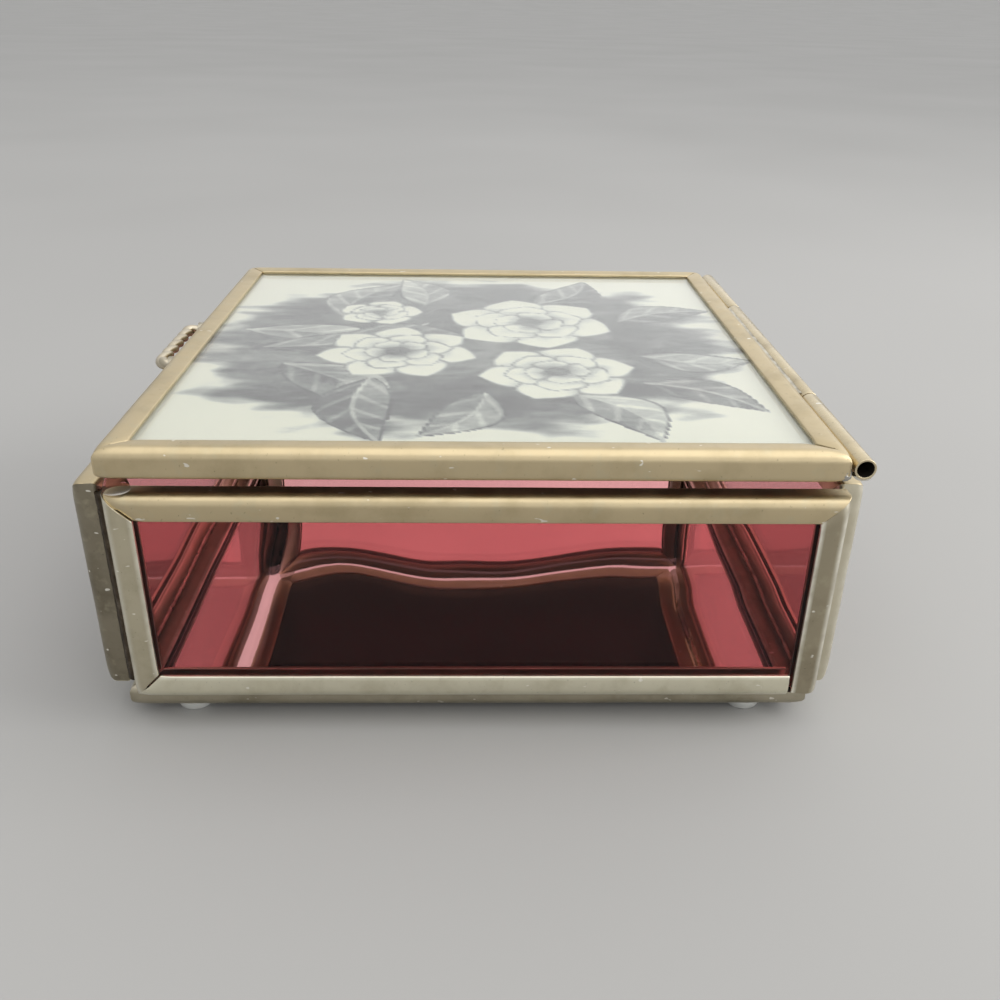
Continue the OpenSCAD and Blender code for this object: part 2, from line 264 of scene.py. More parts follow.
def aged_brass(name, bright, dull, along, rough, painted_glint=0.0):
    """Pale lacquered brass: cloudy tarnish, marks along the channel, dark specks, pale nicks, and,
    where the mesh marks bends and lips, a painted highlight.
    """
    f = Finish(name)
    lively = tuple(min(1.0, 1.05 * c) for c in bright)
    tone = f.ramp(f.cloud(120.0, 4.0, 0.6), (0.30, dull), (0.50, bright), (0.78, lively))
    tone = f.blend(f.span(f.cloud(310.0, 3.0, 0.6), 0.55, 0.75, 0.0, 0.35), tone, GREENISH)
    specks = f.cloud(1500.0, 2.0, 0.7)
    tone = f.blend(f.span(specks, 0.68, 0.74, 0.0, 0.45), tone, tuple(0.35 * c for c in dull))
    nicks = f.cloud(760.0, 1.0, 0.5, at=f.scaled(1.0, 0.6, 1.3))
    tone = f.blend(f.span(nicks, 0.745, 0.775, 0.0, 0.75), tone, NICKED)
    # painted highlight: where the mesh marks bends and lips, the brass is made paler, unevenly
    if painted_glint:
        glint_mask = f.node("ShaderNodeAttribute", attribute_name="painted_glint").outputs["Fac"]
        uneven_glint = f.span(f.cloud(180.0, 3.0, 0.6), 0.35, 0.6, 0.5 * painted_glint, painted_glint)
        tone = f.blend(f.maths("MULTIPLY", glint_mask, uneven_glint), tone, GLINT_TONE)
    marks = f.cloud(520.0, 3.0, 0.6, at=f.scaled(*along))
    grain = f.bump(marks, 0.035, 0.0003)
    dents = f.bump(f.cloud(210.0, 2.0, 0.5), 0.07, 0.0008, under=grain)
    roughness = f.span(f.cloud(260.0, 3.0, 0.6), 0.3, 0.75, rough - 0.05, rough + 0.09)
    return f.set(colour=tone, metal=1.0, rough=roughness, normal=dents)


def dull_solder(name, dark, mid, pale):
    """Grey tin-lead solder with a warm cast and a slightly pitted skin."""
    f = Finish(name)
    tone = f.ramp(f.cloud(420.0, 4.0, 0.6), (0.3, dark), (0.55, mid), (0.8, pale))
    skin = f.bump(f.cloud(700.0, 3.0, 0.6), 0.25, 0.0004)
    return f.set(colour=tone, metal=1.0, rough=f.patchy(300.0, 0.24, 0.42), normal=skin)


def tube_bore():
    """Near-black inside of the hinge tube."""
    f = Finish("tube_bore")
    tone = f.ramp(f.cloud(900.0, 3.0, 0.6), (0.3, (0.012, 0.010, 0.008)),
                  (0.7, (0.045, 0.036, 0.026)))
    return f.set(colour=tone, metal=0.6, rough=f.patchy(500.0, 0.6, 0.8))


def cranberry_glass():
    """Pink sheet glass: gentle ripples, slight streaks and a dimmed reflection."""
    f = Finish("cranberry_glass")
    streaks = f.cloud(24.0, 2.0, 0.5, distortion=0.4)
    tone = f.ramp(streaks, (0.30, (0.76, 0.335, 0.35)), (0.70, (0.81, 0.375, 0.385)))
    ripple = f.bump(f.cloud(48.0, 1.0, 0.4), 0.05, 0.0010)
    return f.set(colour=tone, clear=1.0, rough=0.0, ior=GLASS_IOR, normal=ripple,
                 mirror=(0.28, 0.28, 0.28))


def clear_glass():
    """Clear picture glass with the faintest ripple."""
    f = Finish("clear_glass")
    tone = f.ramp(f.cloud(30.0), (0.3, (0.980, 0.990, 0.982)), (0.7, (0.988, 0.995, 0.988)))
    ripple = f.bump(f.cloud(40.0, 1.0, 0.4), 0.03, 0.0008)
    return f.set(colour=tone, clear=1.0, rough=0.0, ior=GLASS_IOR, normal=ripple)


def silvering():
    """Silver on the back of the mirror, seen through its glass."""
    f = Finish("mirror_silver")
    tone = f.ramp(f.cloud(60.0, 3.0), (0.3, (0.86, 0.87, 0.86)), (0.7, (0.91, 0.92, 0.91)))
    return f.set(colour=tone, metal=1.0, rough=0.015)


def back_paint():
    """Grey paint that protects the silver under the mirror."""
    f = Finish("mirror_back_paint")
    tone = f.ramp(f.cloud(180.0, 5.0, 0.65), (0.3, (0.20, 0.21, 0.22)), (0.7, (0.27, 0.28, 0.29)))
    skin = f.bump(f.cloud(600.0, 3.0, 0.6), 0.2, 0.0003)
    return f.set(colour=tone, rough=f.patchy(240.0, 0.45, 0.6), normal=skin)


def soft_vinyl(name, dim, bright, clear, ior):
    """Soft vinyl of the feet and stops, clear or milky."""
    f = Finish(name)
    tone = f.ramp(f.cloud(400.0, 2.0), (0.3, dim), (0.7, bright))
    return f.set(colour=tone, clear=clear, rough=f.patchy(700.0, 0.03, 0.10), ior=ior)


def print_paper():
    """Pale greenish ground; the attribute ink carries the drawing, broken up like brushwork."""
    f = Finish("print_paper")
    ground = f.ramp(f.cloud(26.0, 4.0), (0.30, (0.92, 0.925, 0.77)), (0.70, (0.97, 0.965, 0.81)))
    ink = f.node("ShaderNodeAttribute", attribute_name="ink").outputs["Fac"]
    bristle = f.cloud(150.0, 6.0, 0.75, at=f.scaled(1.0, 0.30, 1.0), distortion=0.3)
    blot = f.cloud(95.0, 5.0, 0.65)
    worked = f.maths("ADD", f.span(bristle, 0.30, 0.70, -0.20, 0.20),
                     f.span(blot, 0.30, 0.70, -0.15, 0.15))
    # the brush shows only where there is ink
    held = f.maths("MULTIPLY", worked, f.span(ink, 0.0, 0.25, 0.0, 1.0))
    depth = f.maths("ADD", ink, held, clamped=True)
    grey = f.ramp(depth, (0.0, (0.86, 0.88, 0.78)), (0.30, (0.52, 0.54, 0.49)),
                  (0.55, (0.25, 0.26, 0.25)), (0.78, (0.085, 0.088, 0.090)),
                  (1.0, (0.020, 0.020, 0.022)))
    tone = f.blend(f.span(depth, 0.02, 0.14, 0.0, 1.0), ground, grey)
    blush = f.span(f.cloud(30.0, 2.0, 0.5), 0.60, 0.78, 0.0, 0.22)
    tone = f.blend(blush, tone, (0.80, 0.60, 0.58), kind="MULTIPLY")
    return f.set(colour=tone, rough=f.span(blot, 0.3, 0.7, 0.62, 0.78))


def dark_board():
    """Dark brown backing board with a smooth face."""
    f = Finish("dark_board")
    tone = f.ramp(f.cloud(300.0, 5.0, 0.6), (0.3, (0.020, 0.009, 0.008)),
                  (0.7, (0.034, 0.017, 0.015)))
    return f.set(colour=tone, rough=f.patchy(90.0, 0.30, 0.42), specular=0.22)


def pale_floor():
    """Plain pale studio floor."""
    f = Finish("pale_floor")
    tone = f.ramp(f.cloud(3.0, 2.0), (0.3, (0.355, 0.352, 0.347)), (0.7, (0.380, 0.377, 0.372)))
    return f.set(colour=tone, rough=0.85, specular=0.2)


# bright and dull tone of each kind of channel, its roughness and how strong the painted highlight
# on its bends and lips is
TONES = {
    "golden": ((0.575, 0.475, 0.300), (0.50, 0.41, 0.252), 0.36, 0.0),
    "pale": ((0.70, 0.665, 0.52), (0.60, 0.56, 0.42), 0.36, 0.5),
    # painted shade: the uprights get a darker, greener copy of the brass
    "olive": ((0.53, 0.48, 0.355), (0.44, 0.395, 0.28), 0.36, 0.75),
    # painted shade: the rear stiles and the base's front and rear rails get the darkest copy
    "dark": ((0.36, 0.315, 0.225), (0.29, 0.25, 0.175), 0.36, 1.0),
    # painted shade: the base's side rails, set in under the walls, get a dark copy
    "dull": ((0.38, 0.335, 0.245), (0.28, 0.245, 0.17), 0.40, 0.3),
    # painted shade: the front wall's stiles, set back behind the near wall, get the darkest copy of
    # all
    "shade_painted": ((0.22, 0.19, 0.135), (0.15, 0.125, 0.085), 0.44, 0.2),
}
# how the noise is stretched for marks that run along each axis
GRAIN = ((0.06, 1.0, 1.0), (1.0, 0.06, 1.0), (1.0, 1.0, 0.06))
brass = {}


def channel_brass(tone, axis):
    """The brass of one tone with its fine marks along one axis, made when first asked for."""
    if (tone, axis) not in brass:
        bright, dull, rough, painted_glint = TONES[tone]
        name = f"{tone}_brass_along_{'xyz'[axis]}"
        brass[tone, axis] = aged_brass(name, bright, dull, GRAIN[axis], rough, painted_glint)
    return brass[tone, axis]


tube_brass = aged_brass("hinge_brass", (0.64, 0.545, 0.37), (0.50, 0.42, 0.28), GRAIN[0], 0.26)
wire_brass = aged_brass("pull_brass", (0.58, 0.52, 0.41), (0.44, 0.385, 0.29),
                        (0.4, 1.0, 1.0), 0.36)
pin_wire = aged_brass("pin_wire", (0.45, 0.38, 0.28), (0.26, 0.21, 0.15), (1.0, 1.0, 1.0), 0.4)
solder = dull_solder("solder", (0.30, 0.27, 0.21), (0.52, 0.48, 0.39), (0.70, 0.67, 0.58))
bright_solder = dull_solder("bright_solder", (0.50, 0.48, 0.42), (0.72, 0.69, 0.61),
                            (0.86, 0.84, 0.77))
grey_solder = dull_solder("grey_solder", (0.16, 0.15, 0.14), (0.40, 0.39, 0.36),
                          (0.62, 0.60, 0.56))
# painted shade: near-black solder for the corner beads, which sit in the corner grooves
shade_painted_solder = dull_solder("shade_painted_solder", (0.035, 0.026, 0.018), (0.085, 0.065, 0.045),
                             (0.20, 0.17, 0.13))
bore_black = tube_bore()
pink_glass = cranberry_glass()
plain_glass = clear_glass()
silver = silvering()
mirror_paint = back_paint()
stop_vinyl = soft_vinyl("clear_vinyl", (0.50, 0.46, 0.40), (0.62, 0.58, 0.52), 1.0, 1.06)
foot_vinyl = soft_vinyl("milky_vinyl", (0.70, 0.71, 0.68), (0.80, 0.81, 0.78), 0.30, 1.3)
paper = print_paper()
board = dark_board()


# ---- channel -------------------------------------------------------------------

def came_bmesh(length, thick, seed, ends, tight):
    """A U-channel: run along x, web at y = 0, legs towards +y, thickness in z.

    Each end is ("mitre", gap at the inner corner, pinch) or
    ("square", distance from the corner, pinch).
    The web is bent tighter on the side of z that has the sign of tight.
    """
    half = thick / 2
    inner = half - CAME_WALL
    section = [(CAME_LEG, -half), (0, -half), (0, half), (CAME_LEG, half),
               (CAME_LEG, inner), (CAME_WALL, inner), (CAME_WALL, -inner), (CAME_LEG, -inner)]
    bm = bmesh.new()
    ring = [bm.verts.new((0, y, z)) for y, z in section]
    start = bm.faces.new(ring)
    swept = bmesh.ops.extrude_face_region(bm, geom=[start])
    moved = [v for v in swept["geom"] if isinstance(v, bmesh.types.BMVert)]
    bmesh.ops.translate(bm, vec=(length, 0, 0), verts=moved)

    def long_edges(test):
        return [e for e in bm.edges
                if abs(e.verts[0].co.x - e.verts[1].co.x) > length / 2 and test(e.verts[0].co)]

    def rounded(edges, radius, steps, clamped=False):
        bmesh.ops.bevel(bm, geom=edges, offset=radius, segments=steps, profile=0.5,
                        affect="EDGES", material=-1, clamp_overlap=clamped)

    def slice_at(point, normal):
        bmesh.ops.bisect_plane(bm, geom=bm.verts[:] + bm.edges[:] + bm.faces[:],
                               plane_co=point, plane_no=normal)

    for side in (-1, 1):
        rounded(long_edges(lambda p: p.y < ON_PLANE and p.z * side > 0),
                CAME_TIGHT if side == tight else CAME_ROUND, CAME_BEND_STEPS)
    rounded(long_edges(lambda p: p.y > CAME_LEG - ON_PLANE), LIP_ROUND, 3)
    # the outlines of the two end faces, which have far more corners than any other face
    rims = [e for e in bm.edges
            if abs(e.verts[0].co.x - e.verts[1].co.x) < ON_PLANE and len(e.link_faces) == 2
            and any(len(f.verts) > 8 for f in e.link_faces)]
    rounded(rims, SEAM_ROUND, 2, clamped=True)
    for from_end in END_SLICES:
        slice_at((from_end, 0, 0), (1, 0, 0))
        slice_at((length - from_end, 0, 0), (1, 0, 0))
    for part in LEG_SLICES:
        slice_at((0, CAME_ROUND + part * (CAME_LEG - LIP_ROUND - CAME_ROUND), 0), (0, 1, 0))
    cuts = max(LEAST_CUTS, round(length / CUT_PITCH))
    bmesh.ops.subdivide_edges(bm, edges=long_edges(lambda p: True), cuts=cuts, use_grid_fill=True)

    def setback(end, y, z):
        kind, value, _ = end
        ragged = abs(wave((0.0, y, z), SEAM_GRAIN, SEAM_RAGGED, seed + 9))
        return value if kind == "square" else y + SEAM + ragged + value * y / CAME_LEG

    def pinched(distance, depth):
        return depth * max(0.0, 1.0 - distance / PINCH_REACH) ** 2

    # painted highlight: a mark on each point, which the brass reads to make bends and lips paler
    painted_glint = bm.verts.layers.float.new("painted_glint")
    for v in bm.verts:
        x, y, z = v.co
        # the mark is strongest part way round each bend, and full on the lips
        at_bend = abs(z) > half - 1.2 * CAME_ROUND
        at_lip = y > CAME_LEG - 1.3 * LIP_ROUND and abs(z) > inner
        bend_glint = max(0.0, 1.0 - abs(y / CAME_ROUND - 0.30) / 0.45) if at_bend else 0.0
        v[painted_glint] = 1.0 if at_lip else bend_glint
        first = setback(ends[0], y, z)
        last = length - setback(ends[1], y, z)
        v.co.x = first + x / length * (last - first)
        bow = wave((x, 0.0, z * 0.2), *SLOW_BOW, seed) + wave((x, 0.0, z), *QUICK_BOW, seed + 5)
        inward = abs(bow) + pinched(x, ends[0][2]) + pinched(length - x, ends[1][2])
        leaned = max(0.0, (y - CAME_ROUND) / (CAME_LEG - CAME_ROUND)) ** 1.5
        if abs(z) > inner + HAIR or y < CAME_WALL:
            v.co.z *= 1.0 - (inward + LEG_LEAN * leaned) / half
        else:
            v.co.z -= math.copysign(LEG_LEAN_INSIDE * leaned, z)
        if y < CAME_ROUND:
            v.co.y += inward
    return bm


SIDE_AXES = ((0, 1, 0), (0, 0, 1), (1, 0, 0))
END_AXES = ((1, 0, 0), (0, 0, 1), (0, -1, 0))
FLAT_AXES = ((1, 0, 0), (0, 1, 0), (0, 0, 1))
SIDE_PARTS = ("bottom_rail", "rear_stile", "top_rail", "front_stile")
END_PARTS = ("bottom_rail", "right_stile", "top_rail", "left_stile")
FLAT_PARTS = ("front_rail", "right_rail", "rear_rail", "left_rail")
# each mitred frame: its body, its axes (run, up, out), its four channels anticlockwise,
# and the side along its third axis where the web is bent tighter
FRAMES = {
    "right_wall": ("case", SIDE_AXES, SIDE_PARTS, -1),
    "left_wall": ("case", SIDE_AXES, SIDE_PARTS, 1),
    "front_wall": ("case", END_AXES, END_PARTS, -1),
    "rear_wall": ("case", END_AXES, END_PARTS, 1),
    "base": ("case", FLAT_AXES, FLAT_PARTS, 0),
    "lid": ("lid", FLAT_AXES, FLAT_PARTS, -1),
}

# mitres that gape at the inner corner of the frame, in metres: (start, end) of each channel
OPEN_MITRES = {
    "lid_right_rail": (0.05 * MM, 0.60 * MM),
    "lid_rear_rail": (0.55 * MM, 0.0),
    "right_wall_top_rail": (0.05 * MM, 0.05 * MM),
    "right_wall_bottom_rail": (0.26 * MM, 0.0),
    "right_wall_front_stile": (0.0, 0.10 * MM),
}

# how far the shears have pinched a channel's two ends, in metres, where it isn't PINCH
PINCHED_ENDS = {
    "right_wall_top_rail": (0.02 * MM, 0.42 * MM),
    "right_wall_front_stile": (0.02 * MM, 0.25 * MM),
    "right_wall_bottom_rail": (0.25 * MM, 0.05 * MM),
    "right_wall_rear_stile": (0.10 * MM, 0.40 * MM),
    "lid_right_rail": (0.22 * MM, 0.26 * MM),
    "lid_rear_rail": (0.34 * MM, 0.20 * MM),
    "lid_front_rail": (0.20 * MM, 0.24 * MM),
}


def channel_tone(name, side):
    """Which tone a channel gets: golden on top, pale along the bottom, and darker copies of the
    brass, painted shade, on the uprights, the front wall's stiles and the base.
    """
    # painted shade: the base, set in under the walls
    if name == "base":
        return "dark" if side in ("front_rail", "rear_rail") else "dull"
    # painted shade: the front wall's stiles, set back behind the near wall
    if name == "front_wall" and "stile" in side:
        return "shade_painted"
    # painted shade: uprights are darker, the rear stiles darkest
    if "stile" in side:
        return "dark" if side == "rear_stile" else "olive"
    return "pale" if side == "bottom_rail" else "golden"


def build_frame(name):
    """Four channels on the places of their nodes, mitred where the node reaches the corner."""
    body, axes, sides, tight = FRAMES[name]
    run, up, out = (Vector(a) for a in axes)
    low, high = union_box([f"{name}_{side}" for side in sides])
    size = high - low
    width, height, thick = (abs(size.dot(axis)) for axis in (run, up, out))
    corner = Vector([low[k] if (run + up)[k] > 0.5 else (low[k] + high[k]) / 2 for k in range(3)])
    place = Matrix.Translation(corner) @ Matrix((run, up, out)).transposed().to_4x4()
    starts = [(0, 0), (width, 0), (width, height), (0, height)]
    for i, side in enumerate(sides):
        node = f"{name}_{side}"
        length = (width, height)[i % 2]
        along = (run, up)[i % 2]
        node_low, node_high = corners(node)
        short = [(node_low - low).dot(along), (high - node_high).dot(along)]
        if i > 1:
            short.reverse()
        gapes = OPEN_MITRES.get(node, (0.0, 0.0))
        pinches = PINCHED_ENDS.get(node, (PINCH, PINCH))
        ends = [("square", cut, pinch) if cut > LEAST_BUTT else ("mitre", gape, pinch)
                for cut, gape, pinch in zip(short, gapes, pinches)]
        seed = 1.7 * i + sum(map(ord, node)) % 17
        bm = came_bmesh(length, thick, seed, ends, tight)
        turn = Matrix.Translation((*starts[i], 0)) @ Matrix.Rotation(math.radians(90 * i), 4, "Z")
        bmesh.ops.transform(bm, matrix=place @ turn, verts=bm.verts)
        metal = channel_brass(channel_tone(name, side), [abs(c) > 0.5 for c in along].index(True))
        dress(finish_mesh(bm, f"{node}_channel"), metal, "channel", body, node)


for frame_name in FRAMES:
    build_frame(frame_name)


# ---- glass ---------------------------------------------------------------------

CELL = 4 * MM
FINE_CELL = 2 * MM
SWELL = 26 * MM             # reach of the slow waves in a sheet
PANE_WAVE = 0.05 * MM       # and their depth in each kind
LID_WAVE = 0.012 * MM
MIRROR_WAVE = 0.03 * MM
PAINT = 0.06 * MM           # between the mirror's silvered face and its underside
THINNING_FROM = 27 * MM     # heights between which the right pane is drawn thin
THINNING_TO = 43 * MM


def slab(low, high, cell, depth, seed, thin_axis):
    """A sheet between two corners, with slow waves on its two faces."""
    bm = box_mesh(low, high)
    for k in range(3):
        if k == thin_axis:
            continue
        edges = [e for e in bm.edges if abs((e.verts[0].co - e.verts[1].co)[k]) > WELD]
        cuts = int((high - low)[k] / cell)
        bmesh.ops.subdivide_edges(bm, edges=edges, cuts=cuts, use_grid_fill=True)
    middle = (low + high)[thin_axis] / 2
    for v in bm.verts:
        side = math.copysign(1.0, v.co[thin_axis] - middle)
        v.co[thin_axis] -= side * abs(wave(v.co, SWELL, depth, seed + side))
    return bm


def drawn_thin(y, z):
    """How much thinner the uneven right pane is at a place, in metres."""
    if z <= THINNING_FROM:
        return 0.0
    swell = math.exp(-((y + 22 * MM) / (11 * MM)) ** 2) + ease(y, 3 * MM, 24 * MM)
    slope = 0.046 * swell + 0.006 * noise.noise(Vector((y / (7 * MM), 0.4, z / (40 * MM))))
    return max(0.0, slope * (min(z, THINNING_TO) - THINNING_FROM))


PANES = (("right_pane", 0), ("left_pane", 0), ("front_pane", 1), ("rear_pane", 1))
for seed, (node, axis) in enumerate(PANES):
    low, high = corners(node)
    cell = FINE_CELL if node == "right_pane" else CELL
    bm = slab(low, high, cell, PANE_WAVE, 11.0 + seed, axis)
    if node == "right_pane":
        for v in bm.verts:
            if v.co.x < (low + high).x / 2:
                v.co.x += drawn_thin(v.co.y, v.co.z)
    dress(finish_mesh(bm, f"{node}_glass"), pink_glass, "coloured_glass", "case", node)

low, high = corners("lid_glass")
top_glass = finish_mesh(slab(low, high, CELL, LID_WAVE, 21.0, 2), "lid_glass_sheet")
dress(top_glass, plain_glass, "clear_glass", "lid", "lid_glass")

low, high = corners("mirror_base")
floor_glass = low + Vector((0, 0, PAINT))
mirror = finish_mesh(slab(floor_glass, high, CELL, MIRROR_WAVE, 31.0, 2), "mirror_sheet")
dress(mirror, plain_glass, "mirror", "case", "mirror_base")
mirror.data.materials.append(silver)
for face in mirror.data.polygons:
    if face.normal.z < -0.9 and face.center.z < floor_glass.z + 0.3 * MM:
        face.material_index = 1
paint_top = Vector((high.x, high.y, low.z + 0.8 * PAINT))
paint = finish_mesh(slab(low, paint_top, 12 * MM, 0.0, 1.0, 2), "mirror_back")
dress(paint, mirror_paint, "mirror", "case", "mirror_base")


# ---- print ----------------------------------------------------------------------

PRINT_CUTS = 236             # makes cells of 0.5 mm
WASH_REACH = (53.5, 60.0)    # half width and half height in mm of the wash behind the flowers
OUTLINE = 1.3                # width in mm of the soft dark line inside a leaf or petal
LEAF_LINE = 0.92             # how dark that line is
PETAL_LINE = 0.60
HEART = 0.78                 # how dark the heart of a blossom is
# leaves: foot, heading in degrees, length, half width, bend (mm) and how dark
LEAVES = (
    ((-8, -50), 68, 44, 6.5, 5, 0.62), ((4, -44), 118, 38, 7.0, -5, 0.80),
    ((14, -38), 38, 36, 8.0, 4, 0.70), ((-18, -30), 158, 32, 7.5, 4, 0.74),
    ((22, -20), 8, 32, 7.0, -4, 0.86), ((-28, -12), 196, 26, 6.5, -3, 0.60),
    ((30, 2), 330, 24, 6.0, 3, 0.70), ((-30, 14), 148, 26, 7.0, -4, 0.82),
    ((30, 18), 30, 26, 6.5, 4, 0.62), ((-16, 32), 112, 25, 6.5, 3, 0.78),
    ((8, 34), 84, 23, 6.0, -3, 0.66), ((24, 32), 54, 25, 6.0, 3, 0.84),
    ((-2, -30), 92, 30, 8.0, 3, 0.90),
)
# blossoms: centre, radius (mm), turn in degrees, number of outer petals
BLOSSOMS = (((-15, 12), 19, 10, 6), ((18, 16), 16, 40, 6), ((6, -16), 17, 75, 7),
            ((-22, -22), 10, 20, 5))
RINGS = (1.0, 0.68, 0.42)    # size of each ring of petals; each has one petal fewer


def petal_place(point, foot, heading, length, half_width, bend, blunt):
    """Depth inside a leaf or petal (negative outside), and the place along and across it."""
    dx, dy = point[0] - foot[0], point[1] - foot[1]
    c, s = math.cos(heading), math.sin(heading)
    along = (dx * c + dy * s) / length
    if not 0.0 < along < 1.0:
        return -1.0, along, 0.0
    across = dy * c - dx * s - bend * math.sin(math.pi * along)
    return half_width * math.sin(math.pi * along ** blunt) - abs(across), along, across


def washed(point):
    """Soft grey wash behind the flowers, ragged at its rim."""
    u, v = point
    reach = math.hypot(u / WASH_REACH[0], (v + 1) / WASH_REACH[1])
    rim = (0.16 * noise.noise(Vector((u / 9, v / 16, 1.0)))
           + 0.10 * noise.noise(Vector((u / 3, v / 7, 5.0))))
    cloud = 0.5 + 0.5 * noise.noise(Vector((u / 20, v / 24, 9.0)))
    return (1.0 - ease(reach + rim, 0.80, 0.98)) * (0.57 + 0.38 * cloud)


def ink_at(point):
    """Ink of the print at a place in mm from its middle, seen from the pull's side."""
    ink = washed(point)
    for foot, heading, length, half_width, bend, dark in LEAVES:
        depth, along, across = petal_place(point, foot, math.radians(heading), length, half_width,
                                           bend, 0.8)
        if depth > 0:
            ink = dark - (0.20 if across > 0 else 0.0) - 0.15 * along
            veins = math.sin(0.9 * (along * length - 1.2 * abs(across)))
            ink -= 0.20 * ease(veins, 0.45, 1.0)
            ink = max(ink, LEAF_LINE * (1 - ease(depth, 0.0, OUTLINE)))
            ink = min(ink, 0.30 + ease(abs(across), 0.2, 1.0))
    for centre, radius, turn, petals in BLOSSOMS:
        for ring, size in enumerate(RINGS):
            count = petals - ring
            for k in range(count):
                heading = math.radians(turn + 25 * ring + 360 * k / count)
                depth, along, across = petal_place(point, centre, heading, size * radius,
                                                   2.35 / count * size * radius, 1.2, 1.6)
                if depth > 0:
                    ink = 0.62 * (1 - ease(along, 0.1, 0.8)) + 0.04 * ring
                    ink += 0.10 * math.sin(1.1 * across + 3 * along) * (1 - along)
                    ink = max(ink, PETAL_LINE * (1 - ease(depth, 0.0, OUTLINE)))
        heart = math.hypot(point[0] - centre[0], point[1] - centre[1])
        if heart < 0.15 * radius:
            ink = HEART
    return ink


low, high = corners("lid_print")
bm = box_mesh(low, high)
rim = [e for e in bm.edges if min(v.co.z for v in e.verts) > (low + high).z / 2]
bmesh.ops.subdivide_edges(bm, edges=rim, cuts=PRINT_CUTS, use_grid_fill=True)
print_sheet = finish_mesh(bm, "print_sheet")
drawing = print_sheet.data.attributes.new("ink", "FLOAT", "POINT")
centre = (low + high) / 2
for v in print_sheet.data.vertices:
    drawing.data[v.index].value = ink_at(((v.co.x - centre.x) / MM, (v.co.y - centre.y) / MM))
dress(print_sheet, paper, "print", "lid", "lid_print")

refinish("lid_backing", board)


# ---- round pieces: hinge tubes, feet and stops -----------------------------------

BORE_HELD = 1.40 * MM      # of the tubes that hold the wire
BORE_TURNING = 1.45 * MM   # of the tube that turns on it
TUBE_EDGE = 0.10 * MM
FOOT_RADIUS = 4.0 * MM     # of the place that each foot has in the CAD
FOOT_WIDTHS = (3.15 * MM, 3.95 * MM)    # radii below and above
FOOT_HEIGHT = 2 * MM
FOOT_EDGE = 0.28 * MM
STOP_RADIUS = 2.3 * MM     # of the place that each stop has in the CAD
STOP_WIDTHS = (2.25 * MM, 1.9 * MM, 1.36 * MM)    # radii below, half way up and above
STOP_EDGE = 0.22 * MM
TUBE_STEPS = 48
VINYL_STEPS = 40


def spun(profile, axis, centre, rounding, steps):
    """A closed ring or plug: a section of (reach from the axis, place along it) spun round."""
    bm = bmesh.new()
    side = Vector((0, 1, 0)) if axis.x else Vector((1, 0, 0))
    loop = [bm.verts.new(centre + reach * side + along * axis) for reach, along in profile]
    bm.faces.new(loop)
    outer = [v for v in loop if (v.co - centre).dot(side) > WELD]
    bmesh.ops.bevel(bm, geom=outer, offset=rounding, segments=4, profile=0.5,
                    affect="VERTICES", material=-1)
    bmesh.ops.delete(bm, geom=bm.faces[:], context="FACES_ONLY")
    on_axis = [e for e in bm.edges if all((v.co - centre).dot(side) < WELD for v in e.verts)]
    bmesh.ops.delete(bm, geom=on_axis, context="EDGES")
    bmesh.ops.spin(bm, geom=bm.verts[:] + bm.edges[:], cent=centre, axis=axis, dvec=(0, 0, 0),
                   angle=math.tau, steps=steps, use_merge=True)
    bmesh.ops.remove_doubles(bm, verts=bm.verts, dist=WELD)
    return bm


HINGE_TUBES = (("hinge_knuckle_right", "case", BORE_HELD),
               ("hinge_knuckle_left", "case", BORE_HELD),
               ("lid_knuckle", "lid", BORE_TURNING))
for node, body, bore in HINGE_TUBES:
    low, high = corners(node)
    middle = (low + high) / 2
    outer = (high.z - low.z) / 2
    half = (high.x - low.x) / 2
    bm = spun([(bore, -half), (outer, -half), (outer, half), (bore, half)],
              Vector((1, 0, 0)), middle, TUBE_EDGE, TUBE_STEPS)
    tube = finish_mesh(bm, f"{node}_tube")
    dress(tube, tube_brass, "hinge_tube", body, node)
    tube.data.materials.append(bore_black)
    for face in tube.data.polygons:
        reach = math.hypot(face.center.y - middle.y, face.center.z - middle.z)
        if reach < bore + HAIR:
            face.material_index = 1

low, high = corners("feet")
below, above = FOOT_WIDTHS
for k, (at_x, at_y) in enumerate(((1, 1), (1, -1), (-1, 1), (-1, -1))):
    place = Vector((high.x - FOOT_RADIUS if at_x > 0 else low.x + FOOT_RADIUS,
                    high.y - FOOT_RADIUS if at_y > 0 else low.y + FOOT_RADIUS, 0))
    bm = spun([(0, 0), (below, 0), (above, FOOT_HEIGHT), (0, FOOT_HEIGHT)],
              UP, place, FOOT_EDGE, VINYL_STEPS)
    dress(finish_mesh(bm, f"foot_{k + 1}"), foot_vinyl, "clear_vinyl", "case", "feet")

low, high = corners("lid_stops")
tall = high.z - low.z
below, midway, above = STOP_WIDTHS
for name, x in (("right", high.x - STOP_RADIUS), ("left", low.x + STOP_RADIUS)):
    place = Vector((x, (low + high).y / 2, low.z))
    bm = spun([(0, 0), (below, 0), (midway, 0.5 * tall), (above, tall), (0, tall)],
              UP, place, STOP_EDGE, VINYL_STEPS)
    dress(finish_mesh(bm, f"lid_stop_{name}"), stop_vinyl, "clear_vinyl", "case", "lid_stops")


# ---- pull: two twisted wires ------------------------------------------------------

